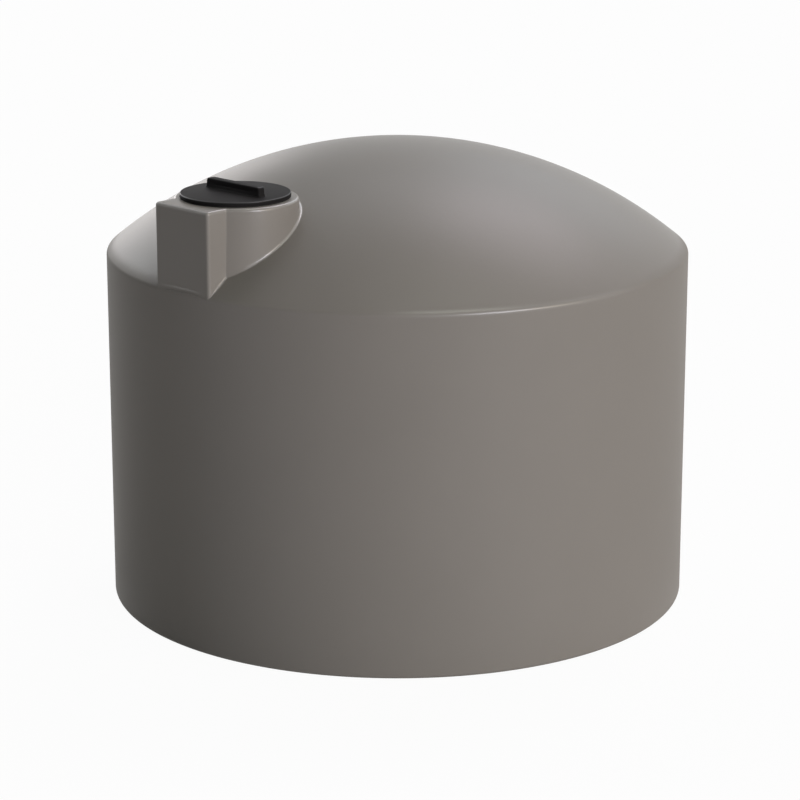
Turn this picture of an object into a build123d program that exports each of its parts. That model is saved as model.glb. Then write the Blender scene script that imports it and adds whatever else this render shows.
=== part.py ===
"""A round rainwater tank with a domed roof, a manhole turret and a lift-off lid.

The tank stands on the ground at z = 0 with its axis on Z, and its turret faces -Y.
The whole body is one moulded skin, kept here as the separate pieces it divides into.
Lengths are in millimetres and angles in degrees.
"""
import os
from math import cos, radians, sin, sqrt

from build123d import *

os.makedirs("parts", exist_ok=True)

# Tank body
tank_radius = 1850
wall_height = 2245
roof_rise = 669
tank_skin = 10
base_inner_rounding = 15
rim_inner_rounding = 21

# How the body divides into pieces
shoulder_width = 35
crown_to_turret = 87
wall_count = 12
roof_count = 8
crown_count = 4

# Turret, a round tower with a flat-fronted box on the side of the tank's edge
turret_setback = 455
turret_radius = 383
turret_back_height = 38
turret_inner_rounding = 9
turret_root_rounding = 4
box_half_width = 231
box_front_setback = 15
front_plate_depth = 30
deck_skirt = 20
deck_width = 83

# Manhole and lid
neck_depth = 60
neck_skin = 8
seal_thickness = 6
seal_width = 30
seal_inset = 2
lid_overhang = 35
lid_height = 24
lid_skin = 6
lid_rim_skin = 8
lid_rounding = 5
plug_clearance = 8
plug_skin = 8
plug_depth = 55

# Grip bar across the lid
bar_length = 465
bar_width = 50
bar_height = 59
bar_end_rounding = 16
bar_top_rounding = 4
bar_foot_width = 110
bar_foot_top_width = 60
bar_foot_height = 12

# Sizes that follow from the ones above
sphere_radius = (tank_radius**2 + roof_rise**2) / (2 * roof_rise)
sphere_centre_height = wall_height + roof_rise - sphere_radius
shoulder_radius = tank_radius - shoulder_width
turret_axis = tank_radius - turret_setback
crown_radius = turret_axis - turret_radius - crown_to_turret
box_front = tank_radius - box_front_setback
manhole_radius = turret_radius - deck_width
lid_radius = manhole_radius + lid_overhang


def roof_height(radius, inset=0):
    """Height of the roof at a distance from the tank's axis, under an inset of skin."""
    return sphere_centre_height + sqrt((sphere_radius - inset) ** 2 - radius**2)


tank_height = roof_height(0)
deck_height = roof_height(turret_axis - turret_radius) + turret_back_height
lid_underside = deck_height + seal_thickness
lid_top = lid_underside + lid_height


def write_piece(piece, name):
    """Name a finished piece and write it as a file of its own."""
    piece.part.label = name
    export_step(piece.part, f"parts/{name}.step")


def upright_plane(angle):
    """Plane through the tank's axis whose X points outwards at an angle and Y up."""
    outwards = (cos(radians(angle)), sin(radians(angle)), 0)
    normal = (sin(radians(angle)), -cos(radians(angle)), 0)
    return Plane(origin=(0, 0, 0), x_dir=outwards, z_dir=normal)


def body_outline(inset):
    """Half section of the tank's body, with every surface moved in by the inset."""
    radius = tank_radius - inset
    middle = radius / 2
    with BuildSketch() as outline:
        with BuildLine():
            Polyline(
                (0, roof_height(0, inset)),
                (0, inset),
                (radius, inset),
                (radius, roof_height(radius, inset)),
            )
            ThreePointArc(
                (radius, roof_height(radius, inset)),
                (middle, roof_height(middle, inset)),
                (0, roof_height(0, inset)),
            )
        make_face()
        corners = outline.vertices().group_by(Axis.X)[-1].sort_by(Axis.Y)
        fillet(corners[0], base_inner_rounding + tank_skin - inset)
        rim = outline.vertices().sort_by_distance((radius, roof_height(radius, inset)))[0]
        fillet(rim, rim_inner_rounding + tank_skin - inset)
    return outline.sketch


def skin_section(inner_radius, outer_radius, lowest):
    """Section of the moulded skin between two distances from the axis."""
    with BuildSketch() as section:
        add(body_outline(0))
        add(body_outline(tank_skin), mode=Mode.SUBTRACT)
        with Locations((inner_radius, lowest)):
            Rectangle(
                outer_radius - inner_radius,
                tank_height - lowest,
                align=(Align.MIN, Align.MIN),
                mode=Mode.INTERSECT,
            )
    return section.sketch


def turned_piece(section, middle_angle, arc):
    """Turn a section about the tank's axis, centred on an angle."""
    with BuildPart() as piece:
        with BuildSketch(upright_plane(middle_angle - arc / 2)):
            add(section)
        revolve(axis=Axis.Z, revolution_arc=arc)
    return piece


def turret_plan(inset):
    """Plan of the turret, with its walls moved in by the inset."""
    front_rounding = turret_inner_rounding + tank_skin - inset
    with BuildSketch() as plan:
        with Locations((0, -turret_axis)):
            Circle(turret_radius - inset)
            Rectangle(
                2 * (box_half_width - inset),
                box_front - inset - turret_axis,
                align=(Align.CENTER, Align.MAX),
            )
        root_corners = plan.vertices().group_by(Axis.Y)[1]
        fillet(root_corners, turret_root_rounding + inset)
        front_corners = plan.vertices().group_by(Axis.Y)[0]
        fillet(front_corners, front_rounding)
    return plan.sketch


def turret_block(inset):
    """Solid turret that reaches down into the tank, moved in by the inset."""
    top = deck_height - inset
    with BuildPart() as block:
        with BuildSketch(Plane.XY.offset(wall_height)):
            add(turret_plan(inset))
        extrude(amount=top - wall_height)
        deck_edges = block.faces().sort_by(Axis.Z)[-1].edges()
        fillet(deck_edges, turret_inner_rounding + tank_skin - inset)
    return block.part


# Floor, inside the rounded foot of the wall
with BuildPart() as tank_floor:
    Cylinder(shoulder_radius, tank_skin, align=(Align.CENTER, Align.CENTER, Align.MIN))
write_piece(tank_floor, "tank_floor")

# Wall segments, each with its rounded foot and the shoulder that carries the roof
wall_section = skin_section(shoulder_radius, tank_radius, 0)
wall_arc = 360 / wall_count
for number in range(wall_count):
    wall_segment = turned_piece(wall_section, number * wall_arc - 90, wall_arc)
    write_piece(wall_segment, f"wall_segment_{number + 1:02d}")

# Roof panels all round, except where the turret stands
roof_section = skin_section(crown_radius, shoulder_radius, wall_height)
roof_arc = 360 / roof_count
for number in range(1, roof_count):
    roof_panel = turned_piece(roof_section, number * roof_arc - 90, roof_arc)
    write_piece(roof_panel, f"roof_panel_{number}")

# Crown of the roof
crown_section = skin_section(0, crown_radius, wall_height)
crown_arc = 360 / crown_count
for number in range(crown_count):
    crown_panel = turned_piece(crown_section, number * crown_arc - 90, crown_arc)
    write_piece(crown_panel, f"crown_panel_{number + 1}")

# Roof panel under the turret, open inside the turret's walls
with BuildPart() as open_panel:
    add(turned_piece(roof_section, -90, roof_arc).part)
    with BuildSketch(Plane.XY.offset(wall_height)):
        add(turret_plan(tank_skin))
    extrude(amount=tank_height - wall_height, mode=Mode.SUBTRACT)

# The open panel divides into a patch on each side of the turret and one behind it
patch_line = Plane.XZ.offset(turret_axis - turret_radius / 2)
with BuildPart() as roof_patch_back:
    add(open_panel.part)
    split(bisect_by=patch_line, keep=Keep.BOTTOM)
write_piece(roof_patch_back, "roof_patch_back")

for name, side in (("left", Keep.BOTTOM), ("right", Keep.TOP)):
    with BuildPart() as roof_patch:
        add(open_panel.part)
        split(bisect_by=patch_line, keep=Keep.TOP)
        split(bisect_by=Plane.YZ, keep=side)
    write_piece(roof_patch, f"roof_patch_{name}")

# Whole skin of the turret, standing on the roof
with BuildPart() as turret_skin:
    add(turret_block(0))
    add(turret_block(tank_skin), mode=Mode.SUBTRACT)
    with BuildSketch(Plane.XZ):
        add(body_outline(0))
    revolve(axis=Axis.Z, mode=Mode.SUBTRACT)

# Deck of the turret, a ring round the manhole in four quarters
deck_foot = Plane.XY.offset(deck_height - deck_skirt)
across_turret = Plane.XZ.offset(turret_axis)
for end, end_side in (("front", Keep.TOP), ("back", Keep.BOTTOM)):
    for name, side in (("left", Keep.BOTTOM), ("right", Keep.TOP)):
        with BuildPart() as deck_quarter:
            add(turret_skin.part)
            split(bisect_by=deck_foot, keep=Keep.TOP)
            with Locations((0, -turret_axis, deck_height)):
                Cylinder(manhole_radius, 2 * deck_skirt, mode=Mode.SUBTRACT)
            split(bisect_by=across_turret, keep=end_side)
            split(bisect_by=Plane.YZ, keep=side)
        write_piece(deck_quarter, f"turret_deck_{end}_{name}")

# Flat front of the turret, with its two rounded corners
front_line = Plane.XZ.offset(box_front - front_plate_depth)
with BuildPart() as turret_front:
    add(turret_skin.part)
    split(bisect_by=deck_foot, keep=Keep.BOTTOM)
    split(bisect_by=front_line, keep=Keep.TOP)
write_piece(turret_front, "turret_front")

# Cheeks, the flat sides between the front and the round wall
cheek_root = turret_axis + sqrt(turret_radius**2 - box_half_width**2)
root_line = Plane.XZ.offset(cheek_root)
for name, side in (("left", Keep.BOTTOM), ("right", Keep.TOP)):
    with BuildPart() as turret_cheek:
        add(turret_skin.part)
        split(bisect_by=deck_foot, keep=Keep.BOTTOM)
        split(bisect_by=front_line, keep=Keep.BOTTOM)
        split(bisect_by=root_line, keep=Keep.TOP)
        split(bisect_by=Plane.YZ, keep=side)
    write_piece(turret_cheek, f"turret_cheek_{name}")

# Round wall of the turret, in four quarters
for end, end_side in (("front", Keep.TOP), ("back", Keep.BOTTOM)):
    for name, side in (("left", Keep.BOTTOM), ("right", Keep.TOP)):
        with BuildPart() as turret_wall:
            add(turret_skin.part)
            split(bisect_by=deck_foot, keep=Keep.BOTTOM)
            split(bisect_by=root_line, keep=Keep.BOTTOM)
            split(bisect_by=across_turret, keep=end_side)
            split(bisect_by=Plane.YZ, keep=side)
        write_piece(turret_wall, f"turret_wall_{end}_{name}")

# Neck that hangs under the deck round the manhole
with BuildPart() as manhole_neck:
    with BuildSketch(Plane.XY.offset(deck_height - tank_skin)):
        with Locations((0, -turret_axis)):
            Circle(manhole_radius + neck_skin)
            Circle(manhole_radius, mode=Mode.SUBTRACT)
    extrude(amount=-neck_depth)
write_piece(manhole_neck, "manhole_neck")

# Rubber ring between the deck and the lid's rim
seal_outer_radius = lid_radius - seal_inset
with BuildPart() as lid_seal:
    with BuildSketch(Plane.XY.offset(deck_height)):
        with Locations((0, -turret_axis)):
            Circle(seal_outer_radius)
            Circle(seal_outer_radius - seal_width, mode=Mode.SUBTRACT)
    extrude(amount=seal_thickness)
write_piece(lid_seal, "lid_seal")

# Lid, a shallow cap with a rim that stands on the rubber ring
with BuildPart() as lid_cap:
    with BuildSketch(Plane.XY.offset(lid_underside)):
        with Locations((0, -turret_axis)):
            Circle(lid_radius)
    extrude(amount=lid_height)
    fillet(lid_cap.faces().sort_by(Axis.Z)[-1].edges(), lid_rounding)
    with BuildSketch(Plane.XY.offset(lid_underside)):
        with Locations((0, -turret_axis)):
            Circle(lid_radius - lid_rim_skin)
    extrude(amount=lid_height - lid_skin, mode=Mode.SUBTRACT)
write_piece(lid_cap, "lid_cap")

# Plug under the lid that enters the manhole
plug_radius = manhole_radius - plug_clearance
plug_foot = deck_height - plug_depth
with BuildPart() as lid_plug:
    with BuildSketch(Plane.XY.offset(plug_foot)):
        with Locations((0, -turret_axis)):
            Circle(plug_radius)
            Circle(plug_radius - plug_skin, mode=Mode.SUBTRACT)
    extrude(amount=lid_top - lid_skin - plug_foot)
write_piece(lid_plug, "lid_plug")


def bar_foot_plan(width):
    """Pointed oval as long as the grip bar."""
    with BuildSketch() as plan:
        with BuildLine():
            ThreePointArc((-bar_length / 2, 0), (0, width / 2), (bar_length / 2, 0))
            ThreePointArc((bar_length / 2, 0), (0, -width / 2), (-bar_length / 2, 0))
        make_face()
    return plan.sketch


# Grip bar that stands across the lid on a spreading foot
with BuildPart() as lid_handle:
    with BuildSketch(Plane((0, -turret_axis, lid_top), x_dir=(1, 0, 0), z_dir=(0, -1, 0))) as bar_side:
        Rectangle(bar_length, bar_height, align=(Align.CENTER, Align.MIN))
        fillet(bar_side.vertices().group_by(Axis.Y)[-1], bar_end_rounding)
    extrude(amount=bar_width / 2, both=True)
    long_edges = lid_handle.edges().filter_by(Axis.X).group_by(Axis.Z)[-1]
    fillet(long_edges, bar_top_rounding)
    with BuildSketch(Plane.XY.offset(lid_top)):
        with Locations((0, -turret_axis)):
            add(bar_foot_plan(bar_foot_width))
    with BuildSketch(Plane.XY.offset(lid_top + bar_foot_height)):
        with Locations((0, -turret_axis)):
            add(bar_foot_plan(bar_foot_top_width))
    loft()
write_piece(lid_handle, "lid_handle")
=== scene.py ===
"""The water tank as it looks: its moulded skin, its turret and its screw lid, in a plain studio."""
import math

import bpy
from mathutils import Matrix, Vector


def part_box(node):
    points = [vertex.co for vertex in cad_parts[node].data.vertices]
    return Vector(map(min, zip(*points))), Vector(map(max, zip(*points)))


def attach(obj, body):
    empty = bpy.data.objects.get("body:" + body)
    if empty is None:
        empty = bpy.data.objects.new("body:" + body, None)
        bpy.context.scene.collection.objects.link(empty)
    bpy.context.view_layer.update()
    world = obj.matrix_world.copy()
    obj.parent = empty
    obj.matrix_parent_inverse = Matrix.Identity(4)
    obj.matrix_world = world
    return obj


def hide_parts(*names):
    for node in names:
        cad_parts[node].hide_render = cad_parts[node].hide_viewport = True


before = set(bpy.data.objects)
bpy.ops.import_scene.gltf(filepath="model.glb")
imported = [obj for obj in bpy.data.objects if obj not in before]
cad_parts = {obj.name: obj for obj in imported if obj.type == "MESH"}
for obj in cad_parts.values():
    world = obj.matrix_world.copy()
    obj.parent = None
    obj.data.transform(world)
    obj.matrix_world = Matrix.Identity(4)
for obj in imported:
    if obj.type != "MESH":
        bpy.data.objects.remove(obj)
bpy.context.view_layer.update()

# Sizes read from the frame, in metres
floor_low, floor_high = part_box("tank_floor")
wall_low, wall_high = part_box("wall_segment_01")
crown_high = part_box("crown_panel_1")[1]
deck_low, deck_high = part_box("turret_deck_back_left")
front_low, front_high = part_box("turret_front")
neck_low, neck_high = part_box("manhole_neck")
cap_low, cap_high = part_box("lid_cap")
handle_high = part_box("lid_handle")[1]

TANK_RADIUS = -wall_low.y
TANK_HEIGHT = crown_high.z
SKIN = floor_high.z - floor_low.z
SHOULDER_RADIUS = floor_high.x
SHOULDER_DROP = TANK_HEIGHT - wall_high.z
DOME_RADIUS = (SHOULDER_RADIUS**2 + SHOULDER_DROP**2) / (2 * SHOULDER_DROP)
DOME_CENTRE = TANK_HEIGHT - DOME_RADIUS
TURRET_AXIS = -(cap_low.y + cap_high.y) / 2
TURRET_RADIUS = -deck_low.x
CHEEK_STAND_OUT = 0.003
BOX_HALF_WIDTH = front_high.x + CHEEK_STAND_OUT
BOX_FRONT = -front_low.y
DECK = deck_high.z
NECK_SKIN = 0.008
NECK_RADIUS = neck_high.x
MANHOLE_RADIUS = NECK_RADIUS - NECK_SKIN
NECK_FOOT = neck_low.z
LID_RADIUS = cap_high.x
LID_UNDERSIDE = cap_low.z
LID_TOP = cap_high.z
BAR_TOP = handle_high.z

# Roundings of the moulding
BASE_ROUNDING = 0.025
RIM_ROUNDING = 0.031
DECK_ROUNDING = 0.019
CORNER_ROUNDING = 0.019
ROOT_ROUNDING = 0.004
MANHOLE_ROUNDING = 0.003

# Spreading foot of the turret, widest round its back, and how its edge runs out on the roof
BACK_FOOT_ROUNDING = 0.017
SIDE_FOOT_ROUNDING = 0.014
FRONT_FOOT_ROUNDING = 0.004
FOOT_WIDENS_OVER = 0.55
FOOT_EDGE_REACH = 0.6
FOOT_EDGE_SINK = 0.0006

# How far the round wall draws in beside the box at deck height, and the angle where that has faded out
TURRET_DRAFT = 0.011
DRAFT_END = math.radians(-15)

# How far below the roof's edge the opening under the turret starts
OPENING_DROP = 0.06

# Skins and rounding of the lid
LID_SKIN = 0.006
LID_RIM_SKIN = 0.008
LID_ROUNDING = 0.005
LID_LOWER_ROUNDING = LID_ROUNDING / 3

# Grip bar
BAR_HALF_WIDTH = 0.025
BAR_CORNER = 0.010
BAR_END_ROUNDING = 0.022
BAR_EDGE_ROUNDING = 0.0045

# Spreading foot of the grip bar, as how far it stands out and how high, in the middle of its length
BAR_FOOT = [
    (0.036, 0.0),
    (0.024, 0.0012),
    (0.016, 0.004),
    (0.0105, 0.009),
    (0.008, 0.015),
    (0.007, 0.020),
    (0.0, 0.026),
]

# How much of that spread and height is left at the bar's ends
BAR_END_SPREAD = 0.3
BAR_END_RISE = 0.75

# How finely the round forms are divided
TANK_SIDES = 288
LID_SIDES = 160
DOME_RINGS = 52
WALL_RINGS = 8
ROUNDING_STEPS = 7
MANHOLE_STEPS = 3
LID_STEPS = 5
LID_LOWER_STEPS = 2
BAR_LENGTH_STEPS = 28
BAR_CORNER_STEPS = 6
BAR_TOP_STEPS = 12

# Vertices nearer than this are merged, and faces at less than these angles are shaded as one
MERGE_DISTANCE = 0.00005
SMOOTH_ANGLE = math.radians(35)
BAR_SMOOTH_ANGLE = math.radians(40)

# Upright part of a level face's normal, in a rough and in a strict test
ROUGHLY_LEVEL = 0.9
LEVEL = 0.999

RIM_CENTRE_RADIUS = TANK_RADIUS - RIM_ROUNDING
RIM_CENTRE_HEIGHT = DOME_CENTRE + math.sqrt((DOME_RADIUS - RIM_ROUNDING) ** 2 - RIM_CENTRE_RADIUS**2)
RIM_ANGLE = math.asin(RIM_CENTRE_RADIUS / (DOME_RADIUS - RIM_ROUNDING))


def select_none():
    """Leave no object selected, so that an operator acts only on what is picked next."""
    if bpy.context.object and bpy.context.object.mode != "OBJECT":
        bpy.ops.object.mode_set(mode="OBJECT")
    bpy.ops.object.select_all(action="DESELECT")


def pick(piece):
    """Make one object the selected and active one."""
    select_none()
    piece.select_set(True)
    bpy.context.view_layer.objects.active = piece


def edit(piece, *steps):
    """Run edit-mode steps on a piece and return to object mode."""
    pick(piece)
    bpy.ops.object.mode_set(mode="EDIT")
    for step in steps:
        step()
    bpy.ops.object.mode_set(mode="OBJECT")


def select_elements(piece, kind, action):
    """Work on one kind of element of a piece, and select all of them or none."""
    edit(
        piece,
        lambda: bpy.ops.mesh.select_mode(type=kind),
        lambda: bpy.ops.mesh.select_all(action=action),
    )


def select_faces(piece, wanted):
    """Select just the faces of a piece that pass a test."""
    select_elements(piece, "FACE", "DESELECT")
    for face in piece.data.polygons:
        face.select = wanted(face)


def finish_modifier(piece, kind, **settings):
    """Add a modifier to a piece, set it and apply it."""
    pick(piece)
    modifier = piece.modifiers.new(kind.title(), kind)
    for name, value in settings.items():
        setattr(modifier, name, value)
    bpy.ops.object.modifier_apply(modifier=modifier.name)


def tidy_mesh(piece, smooth_angle=SMOOTH_ANGLE):
    """Merge doubles, point the faces outwards, shade smooth and put the origin at zero."""
    edit(
        piece,
        lambda: bpy.ops.mesh.select_all(action="SELECT"),
        lambda: bpy.ops.mesh.remove_doubles(threshold=MERGE_DISTANCE),
        lambda: bpy.ops.mesh.normals_make_consistent(inside=False),
    )
    bpy.ops.object.transform_apply(location=True, rotation=True, scale=True)
    bpy.ops.object.shade_smooth_by_angle(angle=smooth_angle)


def place_ring(piece, first, ring):
    """Put a ring of a piece's vertices, from the first one on, at a ring of points."""
    for step, point in enumerate(ring):
        piece.data.vertices[first + step].co = point


def ring_piece(name, rings, closed=False):
    """Extrude a circle of edges through rings of points, one after another."""
    count = len(rings[0])
    select_none()
    bpy.ops.mesh.primitive_circle_add(vertices=count, radius=TANK_RADIUS)
    piece = bpy.context.object
    piece.name = name
    piece.data.name = name
    place_ring(piece, 0, rings[0])
    select_elements(piece, "EDGE", "SELECT")
    for number, ring in enumerate(rings[1:], 1):
        edit(piece, bpy.ops.mesh.extrude_region_move)
        place_ring(piece, number * count, ring)
    if closed:
        edit(piece, bpy.ops.mesh.extrude_region_move)
        place_ring(piece, len(rings) * count, rings[0])
    return piece


def cap_ring(piece, first, count):
    """Close a ring of a piece's vertices with one flat face."""
    for vertex in piece.data.vertices:
        vertex.select = first <= vertex.index < first + count
    for edge in piece.data.edges:
        edge.select = all(first <= corner < first + count for corner in edge.vertices)
    for face in piece.data.polygons:
        face.select = False
    edit(piece, lambda: bpy.ops.mesh.select_mode(type="EDGE"), bpy.ops.mesh.edge_face_add)


def circle(radius, height):
    """Ring of points round the tank's axis at one radius and height."""
    turns = [math.tau * side / TANK_SIDES for side in range(TANK_SIDES)]
    return [(radius * math.cos(turn), radius * math.sin(turn), height) for turn in turns]


def arc(centre_radius, centre_height, radius, start, end, steps):
    """Radius and height of points on an arc, with angles measured up from outwards."""
    turns = [start + (end - start) * step / steps for step in range(steps + 1)]
    return [
        (centre_radius + radius * math.cos(turn), centre_height + radius * math.sin(turn))
        for turn in turns
    ]


def limited(share):
    """A share kept between nought and one."""
    return min(max(share, 0.0), 1.0)


def roof_height(radius, proud=0.0):
    """Height of the roof or its rounded rim at a distance from the axis, or of a surface proud of it."""
    if radius <= RIM_CENTRE_RADIUS + (RIM_ROUNDING + proud) * math.sin(RIM_ANGLE):
        return DOME_CENTRE + math.sqrt((DOME_RADIUS + proud) ** 2 - radius**2)
    reach = min(radius - RIM_CENTRE_RADIUS, RIM_ROUNDING + proud)
    return RIM_CENTRE_HEIGHT + math.sqrt((RIM_ROUNDING + proud) ** 2 - reach**2)


def roof_normal(point):
    """Outward direction of the roof or its rim at the point of it nearest to a place above it."""
    outwards = math.hypot(point.x, point.y)
    along = Vector((point.x / outwards, point.y / outwards, 0))
    flat = math.atan2(outwards - RIM_CENTRE_RADIUS, point.z - RIM_CENTRE_HEIGHT)
    if flat > RIM_ANGLE:
        return along * math.sin(flat) + Vector((0, 0, math.cos(flat)))
    return (point - Vector((0, 0, DOME_CENTRE))).normalized()


# Plan of the turret as a walk round its right half, from the middle of the front to the back
FRONT_STEPS = 12
CORNER_STEPS = 6
CHEEK_STEPS = 9
ROOT_STEPS = 5
ROUND_STEPS = 56


def turret_half_point(step, offset, draft):
    """Point of the turret's right half outline, moved outwards by an offset.

    The draft draws the round wall in where it meets the box, and fades out along the wall.
    """
    tower = TURRET_RADIUS - draft
    corner_x = BOX_HALF_WIDTH - CORNER_ROUNDING
    corner_y = -BOX_FRONT + CORNER_ROUNDING
    if step <= FRONT_STEPS:
        return (corner_x * step / FRONT_STEPS, -BOX_FRONT - offset)
    step -= FRONT_STEPS
    if step <= CORNER_STEPS:
        turn = math.radians(-90 + 90 * step / CORNER_STEPS)
        reach = CORNER_ROUNDING + offset
        return (corner_x + reach * math.cos(turn), corner_y + reach * math.sin(turn))
    step -= CORNER_STEPS

    # The root rounding shrinks as the outline moves out, and ends in a plain mitre
    hollow = max(ROOT_ROUNDING - offset, 0.0)
    root_x = BOX_HALF_WIDTH + offset + hollow
    root_y = -math.sqrt((tower + offset + hollow) ** 2 - root_x**2)
    root_angle = math.atan2(root_y, root_x)
    if step <= CHEEK_STEPS:
        share = step / CHEEK_STEPS
        return (BOX_HALF_WIDTH + offset, corner_y + (root_y - TURRET_AXIS - corner_y) * share)
    step -= CHEEK_STEPS
    if step <= ROOT_STEPS:
        share = step / ROOT_STEPS
        turn = math.pi + root_angle * share
        return (root_x + hollow * math.cos(turn), root_y - TURRET_AXIS + hollow * math.sin(turn))
    step -= ROOT_STEPS
    turn = root_angle + (math.pi / 2 - root_angle) * step / ROUND_STEPS
    near_box = limited((turn - DRAFT_END) / (root_angle - DRAFT_END))
    reach = TURRET_RADIUS - draft * near_box**2 * (3 - 2 * near_box) + offset
    return (reach * math.cos(turn), reach * math.sin(turn) - TURRET_AXIS)


HALF_STEPS = FRONT_STEPS + CORNER_STEPS + CHEEK_STEPS + ROOT_STEPS + ROUND_STEPS
TURRET_SIDES = 2 * HALF_STEPS


def turret_point(side, offset, draft=0.0):
    """Point of the whole outline: the right half first, then the left half as its mirror."""
    if side <= HALF_STEPS:
        x, y = turret_half_point(side, offset, draft)
        return Vector((x, y, 0))
    x, y = turret_half_point(TURRET_SIDES - side, offset, draft)
    return Vector((-x, y, 0))


def turret_ring(offset, height):
    """Ring round the turret's outline near its top, where the round wall has drawn in most."""
    lift = Vector((0, 0, height))
    return [turret_point(side, offset, TURRET_DRAFT) + lift for side in range(TURRET_SIDES)]


def foot_draft(side):
    """How far the round wall has drawn in where it meets the roof."""
    foot = turret_point(side, 0.0)
    share = (roof_height(math.hypot(foot.x, foot.y)) - wall_high.z) / (DECK - wall_high.z)
    return TURRET_DRAFT * limited(share)


def foot_ring(offset):
    """Ring round the turret's outline where it meets the roof."""
    return [turret_point(side, offset, foot_draft(side)) for side in range(TURRET_SIDES)]


def deck_circle(radius, height):
    """Ring round the manhole whose points face those of the turret's outline."""
    centre = Vector((0, -TURRET_AXIS, 0))
    ring = []
    for side in range(TURRET_SIDES):
        outwards = (turret_point(side, -DECK_ROUNDING, TURRET_DRAFT) - centre).normalized()
        ring.append(centre + outwards * radius + Vector((0, 0, height)))
    return ring


def foot_rounding(side):
    """Radius of the turret's spreading foot, smallest under the flat front and largest round the back."""
    step = min(side, TURRET_SIDES - side) - FRONT_STEPS - CORNER_STEPS
    if step <= CHEEK_STEPS / 2:
        share = limited(step / (CHEEK_STEPS / 2))
        return FRONT_FOOT_ROUNDING + (SIDE_FOOT_ROUNDING - FRONT_FOOT_ROUNDING) * share
    share = limited((step - CHEEK_STEPS - ROOT_STEPS) / (ROUND_STEPS * FOOT_WIDENS_OVER))
    return SIDE_FOOT_ROUNDING + (BACK_FOOT_ROUNDING - SIDE_FOOT_ROUNDING) * share


def foot_arc(side):
    """Points down the spreading foot at one side of the outline, ending flush on the roof."""
    radius = foot_rounding(side)
    centre = turret_point(side, radius, foot_draft(side))
    centre.z = roof_height(math.hypot(centre.x, centre.y), radius)
    wall = turret_point(side, 0.0, foot_draft(side))
    wall.z = centre.z
    from_wall = wall - centre
    to_roof = -roof_normal(centre)
    points = []
    for step in range(ROUNDING_STEPS + 1):
        share = step / ROUNDING_STEPS
        direction = from_wall.normalized().slerp(to_roof, share)
        points.append(centre + direction * (from_wall.length * (1 - share) + radius * share))
    outwards = -from_wall.normalized()
    edge = points[-1] + outwards * radius * FOOT_EDGE_REACH
    edge.z = roof_height(math.hypot(edge.x, edge.y)) - FOOT_EDGE_SINK
    points.append(edge)
    points.append(edge - Vector((0, 0, SKIN / 2)))
    return points


def on_roof(ring, sink):
    """Lower a ring onto the roof, sunk into it a little."""
    return [Vector((p.x, p.y, roof_height(math.hypot(p.x, p.y)) - sink)) for p in ring]


def make_body():
    """Floor, straight wall, rounded rim and dome as one hollow moulding."""
    profile = arc(TANK_RADIUS - BASE_ROUNDING, BASE_ROUNDING, BASE_ROUNDING, -math.pi / 2, 0, ROUNDING_STEPS)
    rise = RIM_CENTRE_HEIGHT - BASE_ROUNDING
    profile += [(TANK_RADIUS, BASE_ROUNDING + rise * step / WALL_RINGS) for step in range(1, WALL_RINGS)]
    rim_end = math.pi / 2 - RIM_ANGLE
    profile += arc(RIM_CENTRE_RADIUS, RIM_CENTRE_HEIGHT, RIM_ROUNDING, 0, rim_end, ROUNDING_STEPS)
    dome = arc(0, DOME_CENTRE, DOME_RADIUS, rim_end, math.pi / 2, DOME_RINGS)
    profile += dome[1:]
    body = ring_piece("tank_body", [circle(radius, height) for radius, height in profile])
    cap_ring(body, 0, TANK_SIDES)
    tidy_mesh(body)
    finish_modifier(body, "SOLIDIFY", thickness=SKIN, offset=-1)

    inner = [(point.x, max(point.y, -SHOULDER_RADIUS)) for point in foot_ring(-SKIN)]
    heights = (wall_high.z - OPENING_DROP, DECK)
    cutter = ring_piece("opening", [[(x, y, height) for x, y in inner] for height in heights])
    cap_ring(cutter, 0, TURRET_SIDES)
    cap_ring(cutter, TURRET_SIDES, TURRET_SIDES)
    tidy_mesh(cutter)
    finish_modifier(body, "BOOLEAN", operation="DIFFERENCE", solver="EXACT", object=cutter)
    bpy.data.objects.remove(cutter)
    return body


def make_turret():
    """Turret wall, deck and manhole neck, with the foot that spreads onto the roof."""
    rings = [deck_circle(MANHOLE_RADIUS, NECK_FOOT), deck_circle(MANHOLE_RADIUS, DECK - SKIN)]
    edge_radius = MANHOLE_RADIUS + MANHOLE_ROUNDING
    edge_height = DECK - MANHOLE_ROUNDING
    manhole_edge = arc(edge_radius, edge_height, MANHOLE_ROUNDING, math.pi, math.pi / 2, MANHOLE_STEPS)
    rings += [deck_circle(radius, height) for radius, height in manhole_edge]
    rings.append(deck_circle((MANHOLE_RADIUS + TURRET_RADIUS) / 2, DECK))
    deck_edge = arc(-DECK_ROUNDING, DECK - DECK_ROUNDING, DECK_ROUNDING, math.pi / 2, 0, ROUNDING_STEPS)
    rings += [turret_ring(offset, height) for offset, height in deck_edge]
    feet = [foot_arc(side) for side in range(TURRET_SIDES)]
    top = rings[-1]
    for share in (0.33, 0.67):
        rings.append([high.lerp(foot[0], share) for high, foot in zip(top, feet)])
    rings += [[foot[step] for foot in feet] for step in range(len(feet[0]))]
    rings.append(on_roof(foot_ring(-SKIN), SKIN / 2))
    rings.append(turret_ring(-SKIN, DECK - DECK_ROUNDING))
    rings.append(turret_ring(-DECK_ROUNDING, DECK - SKIN))
    rings.append(deck_circle(NECK_RADIUS, DECK - SKIN))
    rings.append(deck_circle(NECK_RADIUS, NECK_FOOT))
    turret = ring_piece("turret_body", rings, closed=True)
    tidy_mesh(turret)
    return turret


def extrude_up(distance):
    """Extrude what is selected straight up, or down where the distance is negative."""
    bpy.ops.mesh.extrude_region_move(TRANSFORM_OT_translate={"value": (0, 0, distance)})


def bevel_edges(rounding, steps):
    """Round the edges of what is selected."""
    bpy.ops.mesh.bevel(offset=rounding, segments=steps, affect="EDGES")


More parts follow.
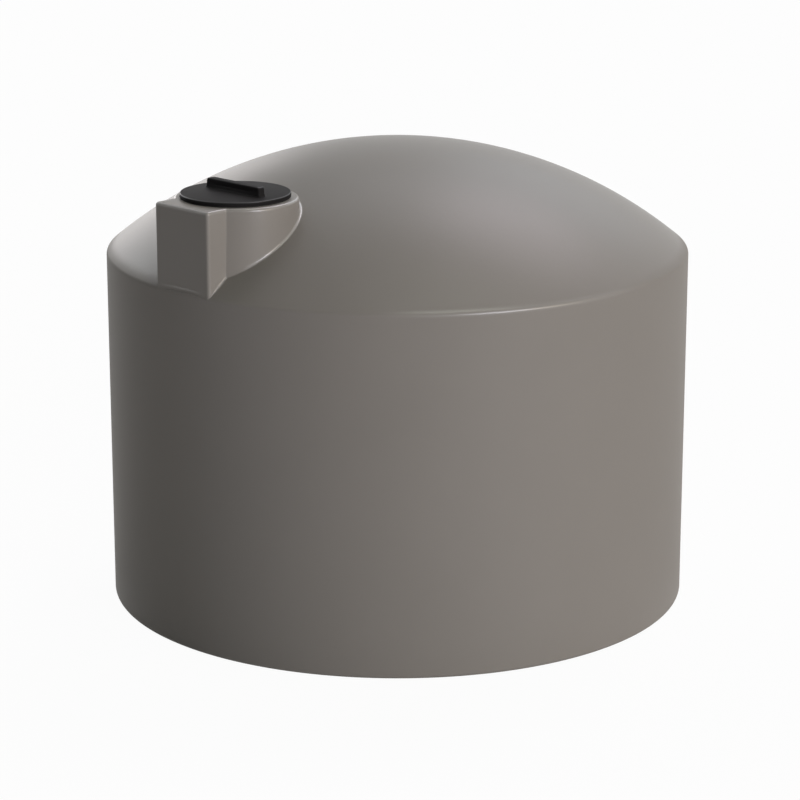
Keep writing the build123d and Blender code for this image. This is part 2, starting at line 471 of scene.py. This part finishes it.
def make_lid():
    """Screw lid with a flat top and a rounded edge, hollow underneath."""
    select_none()
    bpy.ops.mesh.primitive_cylinder_add(
        vertices=LID_SIDES,
        radius=LID_RADIUS,
        depth=LID_TOP - LID_UNDERSIDE,
        location=(0, -TURRET_AXIS, (LID_TOP + LID_UNDERSIDE) / 2),
    )
    lid = bpy.context.object
    lid.name = "lid_top"
    select_faces(lid, lambda face: face.normal.z > ROUGHLY_LEVEL)
    edit(lid, lambda: bevel_edges(LID_ROUNDING, LID_STEPS))
    select_faces(lid, lambda face: face.normal.z < -ROUGHLY_LEVEL)
    edit(lid, lambda: bevel_edges(LID_LOWER_ROUNDING, LID_LOWER_STEPS))
    select_faces(lid, lambda face: face.normal.z < -LEVEL)
    edit(
        lid,
        lambda: bpy.ops.mesh.inset(thickness=LID_RIM_SKIN),
        lambda: extrude_up(LID_TOP - LID_UNDERSIDE - LID_SKIN),
        lambda: bpy.ops.mesh.inset(thickness=LID_RIM_SKIN),
    )
    tidy_mesh(lid)
    return lid


def bar_ring(half_length, half_width, corner, spread, level, arched):
    """Ring round the grip bar, spreading most in the middle of its length and, if arched, highest there."""
    end_level = level * BAR_END_RISE if arched else level
    outline = []
    for step in range(BAR_LENGTH_STEPS + 1):
        along = -1 + 2 * step / BAR_LENGTH_STEPS
        middle = 1 - along**2
        stand_out = spread * (BAR_END_SPREAD + (1 - BAR_END_SPREAD) * middle)
        rise = end_level + (level - end_level) * middle
        outline.append((along * (half_length - corner), -half_width - stand_out, rise))
    reach = corner + spread * BAR_END_SPREAD
    for step in range(1, 2 * BAR_CORNER_STEPS):
        turn = -math.pi / 2 + math.pi / 2 * step / BAR_CORNER_STEPS
        side = corner - half_width if step <= BAR_CORNER_STEPS else half_width - corner
        x = half_length - corner + reach * math.cos(turn)
        y = side + reach * math.sin(turn)
        outline.append((x, y, end_level))
    whole = outline + [(-x, -y, z) for x, y, z in outline]
    return [Vector((x, y - TURRET_AXIS, LID_TOP + z)) for x, y, z in whole]


def make_grip():
    """Grip bar with rounded ends, on a foot that spreads into the lid, most of all in the middle."""
    half_length = handle_high.x
    height = BAR_TOP - LID_TOP
    rings = [bar_ring(half_length, BAR_HALF_WIDTH, BAR_CORNER, out, up, True) for out, up in BAR_FOOT]
    for step in range(BAR_TOP_STEPS + 1):
        turn = math.pi / 2 * step / BAR_TOP_STEPS
        level = height - BAR_END_ROUNDING * (1 - math.sin(turn))
        above_edge = max(level - (height - BAR_EDGE_ROUNDING), 0.0)
        inset = BAR_EDGE_ROUNDING - math.sqrt(max(BAR_EDGE_ROUNDING**2 - above_edge**2, 0.0))
        length = half_length - BAR_END_ROUNDING * (1 - math.cos(turn)) - inset / 2
        rings.append(bar_ring(length, BAR_HALF_WIDTH - inset, BAR_CORNER - inset, 0.0, level, False))
    count = len(rings[0])
    grip = ring_piece("lid_grip", rings)
    cap_ring(grip, 0, count)
    cap_ring(grip, (len(rings) - 1) * count, count)
    tidy_mesh(grip, BAR_SMOOTH_ANGLE)
    return grip


class Value:
    """A number socket that can be written in sums."""

    def __init__(self, finish, socket):
        self.finish = finish
        self.socket = socket

    def sum_with(self, operation, first, second):
        node = self.finish.node("ShaderNodeMath", {"operation": operation}, {0: first, 1: second})
        return Value(self.finish, node.outputs[0])

    def __add__(self, other):
        return self.sum_with("ADD", self, other)

    def __radd__(self, other):
        return self.sum_with("ADD", other, self)

    def __sub__(self, other):
        return self.sum_with("SUBTRACT", self, other)

    def __rsub__(self, other):
        return self.sum_with("SUBTRACT", other, self)

    def __mul__(self, other):
        return self.sum_with("MULTIPLY", self, other)


class Finish:
    """One procedural material, built node by node."""

    def __init__(self, name):
        self.material = bpy.data.materials.new(name)
        self.material.use_nodes = True
        self.tree = self.material.node_tree
        self.tree.nodes.clear()
        self.place = self.node("ShaderNodeTexCoord", {}, {}).outputs["Object"]
        parts = self.node("ShaderNodeSeparateXYZ", {}, {"Vector": self.place})
        self.height = Value(self, parts.outputs["Z"])

    def node(self, kind, settings, inputs):
        """Add a node, set it, then fill its sockets with values or links."""
        node = self.tree.nodes.new(kind)
        for name, value in settings.items():
            setattr(node, name, value)
        for name, value in inputs.items():
            if isinstance(value, Value):
                value = value.socket
            if isinstance(value, bpy.types.NodeSocket):
                self.tree.links.new(value, node.inputs[name])
            else:
                node.inputs[name].default_value = value
        return node

    def noise(self, scale, detail):
        """Noise from 0 to 1 over the object's own places."""
        inputs = {"Vector": self.place, "Scale": scale, "Detail": detail}
        node = self.node("ShaderNodeTexNoise", {}, inputs)
        return Value(self, node.outputs["Fac"])

    def above(self, value, level, band):
        """Zero where a value is below a level and one above it, with a soft change across a band."""
        node = self.node(
            "ShaderNodeMapRange",
            {"interpolation_type": "SMOOTHSTEP"},
            {"Value": value, "From Min": level - band, "From Max": level + band},
        )
        return Value(self, node.outputs["Result"])

    def between(self, value, low, low_band, high, high_band):
        """One where a value is between two levels and zero elsewhere, with a soft change at each."""
        return self.above(value, low, low_band) - self.above(value, high, high_band)

    def vector_node(self, operation, *inputs):
        """Add a node that works on vectors."""
        return self.node("ShaderNodeVectorMath", {"operation": operation}, dict(enumerate(inputs)))

    def distance(self, centre):
        """Distance of a place from a centre."""
        return Value(self, self.vector_node("DISTANCE", self.place, centre).outputs["Value"])

    def distance_across(self, centre):
        """Distance from an upright line, taking every place with its x and y made positive."""
        level = self.vector_node("MULTIPLY", self.place, (1, 1, 0))
        positive = self.vector_node("ABSOLUTE", level.outputs["Vector"])
        node = self.vector_node("DISTANCE", positive.outputs["Vector"], centre)
        return Value(self, node.outputs["Value"])

    def blend(self, share, first, second):
        """Colour between two colours."""
        node = self.node(
            "ShaderNodeMix", {"data_type": "RGBA"}, {"Factor": share, "A": (*first, 1), "B": (*second, 1)}
        )
        return node.outputs["Result"]

    def shade(self, colour, roughness, height, depth, **fixed):
        """Finish with a surface shader whose bump comes from a height."""
        bump = self.node("ShaderNodeBump", {}, {"Height": height, "Distance": depth, "Strength": 1.0})
        inputs = {"Base Color": colour, "Roughness": roughness, "Normal": bump.outputs["Normal"]}
        inputs.update({name.replace("_", " "): value for name, value in fixed.items()})
        shader = self.node("ShaderNodeBsdfPrincipled", {}, inputs)
        self.node("ShaderNodeOutputMaterial", {}, {"Surface": shader.outputs["BSDF"]})
        return self.material


# Middle of the shiny length of rim, and its half length with the band over which it fades
SHINY_RIM_PLACE = (TANK_RADIUS * 0.927, -TANK_RADIUS * 0.375, RIM_CENTRE_HEIGHT)
SHINY_RIM_REACH = (0.75, 0.25)

# Middle of the dull length of the turret's foot beside its box, with x and y made positive, and its reach
DULL_FOOT_PLACE = (0.270, TURRET_AXIS + 0.256, 0)
DULL_FOOT_REACH = (0.055, 0.015)

# Colours, each between a darker and a lighter one
TANK_GREYS = ((0.186, 0.172, 0.154), (0.203, 0.188, 0.169))
LID_BLACKS = ((0.0095, 0.009, 0.009), (0.0145, 0.0135, 0.0135))
RUBBER_BLACKS = ((0.010, 0.010, 0.010), (0.022, 0.021, 0.020))


def tank_shine(finish):
    """How shiny the tank is: on a length of its rim, on the turret's foot and on the edge of the deck."""
    height = finish.height
    over_roof = finish.distance((0, 0, DOME_CENTRE)) - DOME_RADIUS
    rim = finish.between(height, RIM_CENTRE_HEIGHT - 0.004, 0.010, RIM_CENTRE_HEIGHT + RIM_ROUNDING, 0.010)
    rim = rim * (1 - finish.above(finish.distance(SHINY_RIM_PLACE), *SHINY_RIM_REACH))
    foot = finish.between(over_roof, 0.001, 0.0008, BACK_FOOT_ROUNDING, 0.004)
    foot = foot * finish.above(finish.distance_across(DULL_FOOT_PLACE), *DULL_FOOT_REACH)
    foot = foot * finish.above(height, RIM_CENTRE_HEIGHT + RIM_ROUNDING + 0.010, 0.006)
    deck_edge = finish.between(height, DECK - DECK_ROUNDING, 0.003, DECK - 0.0015, 0.0012)
    deck_edge = deck_edge * finish.above(over_roof, 0.016, 0.003)
    return rim * 0.7 + foot + deck_edge * 0.8


def tank_plastic():
    """Warm grey moulded polyethylene, matt on the wall, satin above it and shinier on its roundings."""
    finish = Finish("moulded_grey_plastic")
    clouds = finish.noise(2.2, 3.0)
    grain = finish.noise(420.0, 2.0)
    ripple = finish.noise(26.0, 2.0)
    colour = finish.blend(clouds * 0.7 + grain * 0.3, *TANK_GREYS)
    above_wall = finish.above(finish.height, wall_high.z, 0.03)
    return finish.shade(
        colour,
        0.60 - above_wall * 0.22 + (clouds - 0.5) * 0.04,
        grain * 0.25 + ripple * 0.75,
        0.0004,
        IOR=1.5,
        Specular_IOR_Level=0.18,
        Coat_Weight=tank_shine(finish),
        Coat_Roughness=0.26,
    )


def lid_plastic():
    """Black moulded plastic, matt but for the edges of the lid and the top of its bar."""
    finish = Finish("moulded_black_plastic")
    clouds = finish.noise(9.0, 3.0)
    grain = finish.noise(900.0, 2.0)
    colour = finish.blend(clouds, *LID_BLACKS)
    from_axis = finish.distance_across((0, TURRET_AXIS, 0))
    lid_edge = finish.above(from_axis, LID_RADIUS - LID_ROUNDING, 0.0015)
    lid_edge = lid_edge * finish.above(finish.height, LID_TOP - LID_ROUNDING, 0.0015)
    bar_edge = finish.between(finish.height, BAR_TOP - 0.006, 0.001, BAR_TOP - 0.0008, 0.0006)
    return finish.shade(
        colour,
        0.54 + clouds * 0.06 + grain * 0.04,
        grain,
        0.00008,
        IOR=1.5,
        Specular_IOR_Level=0.035,
        Coat_Weight=lid_edge * 0.5 + bar_edge * 0.25,
        Coat_Roughness=0.3,
    )


def seal_rubber():
    """Matt black rubber."""
    finish = Finish("matt_black_rubber")
    dust = finish.noise(60.0, 4.0)
    colour = finish.blend(dust, *RUBBER_BLACKS)
    return finish.shade(colour, 0.62 + dust * 0.16, dust, 0.0002, IOR=1.5, Specular_IOR_Level=0.1)


def dress(piece, material):
    """Give a piece one material."""
    piece.data.materials.clear()
    piece.data.materials.append(material)


def dress_node(name, material):
    """Give a construction node one material in each of its slots."""
    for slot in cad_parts[name].material_slots:
        slot.material = material


# Camera at the photograph's view, in metres, radians and pixels
VIEW_AZIMUTH = math.radians(44.25)
VIEW_PITCH = 0.27150
VIEW_DISTANCE = 18.165
VIEW_HEIGHT = 6.275
FOCAL_PIXELS = 2909.0
AXIS_COLUMN = 397.5
LEVEL_ROW = 400.5
PICTURE_PIXELS = 800
SENSOR_WIDTH = 36

# Studio: how wide each lamp looks, the grey that lights the matt surfaces, and the floor
LAMP_WIDTH = math.radians(26)
DIM_GREY = (0.004, 0.004, 0.004, 1)
WHITE = (1, 1, 1, 1)
FLOOR_GREY = (0.8, 0.8, 0.8, 1)
FLOOR_SIZE = 400
FLOOR_DROP = 0.001
FLOOR_WHITENESS = 0.96


def make_camera():
    """Camera at the photograph's place, aimed down at the tank."""
    data = bpy.data.cameras.new("camera")
    data.sensor_width = SENSOR_WIDTH
    data.lens = FOCAL_PIXELS * data.sensor_width / PICTURE_PIXELS
    data.shift_x = (PICTURE_PIXELS / 2 - AXIS_COLUMN) / PICTURE_PIXELS
    data.shift_y = (LEVEL_ROW - PICTURE_PIXELS / 2) / PICTURE_PIXELS
    camera = bpy.data.objects.new("camera", data)
    camera.location = (
        VIEW_DISTANCE * math.sin(VIEW_AZIMUTH),
        -VIEW_DISTANCE * math.cos(VIEW_AZIMUTH),
        VIEW_HEIGHT,
    )
    camera.rotation_euler = (math.pi / 2 - VIEW_PITCH, 0, VIEW_AZIMUTH)
    bpy.context.collection.objects.link(camera)
    bpy.context.scene.camera = camera


def wide_lamp(name, azimuth, elevation, light):
    """Broad soft lamp far away, with its azimuth measured from the view, to the right."""
    data = bpy.data.lights.new(name, "SUN")
    data.angle = LAMP_WIDTH
    data.energy = light[1]
    data.color = [part / light[1] for part in light]
    lamp = bpy.data.objects.new(name, data)
    turn = VIEW_AZIMUTH + math.radians(azimuth)
    rise = math.radians(elevation)
    back = Vector((math.sin(turn) * math.cos(rise), -math.cos(turn) * math.cos(rise), math.sin(rise)))
    lamp.rotation_mode = "QUATERNION"
    lamp.rotation_quaternion = (-back).to_track_quat("-Z", "Y")
    bpy.context.collection.objects.link(lamp)


def make_world():
    """White to the camera, in reflections and through anything clear, and dim to the rest."""
    world = bpy.data.worlds.new("studio")
    bpy.context.scene.world = world
    world.use_nodes = True
    tree = world.node_tree
    tree.nodes.clear()
    path = tree.nodes.new("ShaderNodeLightPath")
    mirrored = tree.nodes.new("ShaderNodeMath")
    mirrored.operation = "MAXIMUM"
    tree.links.new(path.outputs["Is Glossy Ray"], mirrored.inputs[0])
    tree.links.new(path.outputs["Is Transmission Ray"], mirrored.inputs[1])
    seen = tree.nodes.new("ShaderNodeMath")
    seen.operation = "MAXIMUM"
    tree.links.new(path.outputs["Is Camera Ray"], seen.inputs[0])
    tree.links.new(mirrored.outputs[0], seen.inputs[1])
    mix = tree.nodes.new("ShaderNodeMix")
    mix.data_type = "RGBA"
    mix.inputs["A"].default_value = DIM_GREY
    mix.inputs["B"].default_value = WHITE
    tree.links.new(seen.outputs[0], mix.inputs["Factor"])
    background = tree.nodes.new("ShaderNodeBackground")
    tree.links.new(mix.outputs["Result"], background.inputs["Color"])
    output = tree.nodes.new("ShaderNodeOutputWorld")
    tree.links.new(background.outputs[0], output.inputs[0])


def make_floor():
    """Wide pale floor that looks white but keeps a soft shadow."""
    select_none()
    bpy.ops.mesh.primitive_plane_add(size=FLOOR_SIZE, location=(0, 0, -FLOOR_DROP))
    floor = bpy.context.object
    floor.name = "studio_floor"
    finish = Finish("studio_white")
    path = finish.node("ShaderNodeLightPath", {}, {})
    diffuse = finish.node("ShaderNodeBsdfDiffuse", {}, {"Color": FLOOR_GREY})
    glow = finish.node("ShaderNodeEmission", {}, {"Color": WHITE, "Strength": 1.0})
    glossy = Value(finish, path.outputs["Is Glossy Ray"])
    mirrored = glossy + Value(finish, path.outputs["Is Transmission Ray"])
    seen = Value(finish, path.outputs["Is Camera Ray"]) * FLOOR_WHITENESS + mirrored
    mix = finish.node("ShaderNodeMixShader", {}, {0: seen, 1: diffuse.outputs[0], 2: glow.outputs[0]})
    finish.node("ShaderNodeOutputMaterial", {}, {"Surface": mix.outputs[0]})
    dress(floor, finish.material)


make_camera()
make_world()
make_floor()
wide_lamp("right_key", 40, 8, (2.238, 2.269, 2.485))
wide_lamp("right_fill", 60, 8, (0.916, 0.774, 0.581))
wide_lamp("overhead", 60, 76, (0.467, 0.504, 0.424))
wide_lamp("back_right_high", 150, 52, (0.899, 0.826, 0.901))
wide_lamp("back_right", 160, 30, (0.164, 0.187, 0.212))
wide_lamp("back_high", -180, 52, (0.244, 0.247, 0.263))
wide_lamp("back_left", -142, 28, (0.485, 0.500, 0.520))
wide_lamp("back_left_low", -160, 8, (0.338, 0.321, 0.319))

grey = tank_plastic()
black = lid_plastic()
rubber = seal_rubber()

body = make_body()
dress(body, grey)
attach(body, "tank")
walls = [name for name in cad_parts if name.startswith(("wall_segment_", "roof_", "crown_panel_"))]
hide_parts("tank_floor", *walls)

turret = make_turret()
dress(turret, grey)
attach(turret, "tank")
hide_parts("manhole_neck", *[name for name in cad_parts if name.startswith("turret_")])

lid = make_lid()
dress(lid, black)
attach(lid, "lid")
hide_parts("lid_cap")

grip = make_grip()
dress(grip, black)
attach(grip, "lid")
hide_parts("lid_handle")

dress_node("lid_plug", black)
dress_node("lid_seal", rubber)

bpy.context.scene.view_settings.view_transform = "Standard"

select_none()
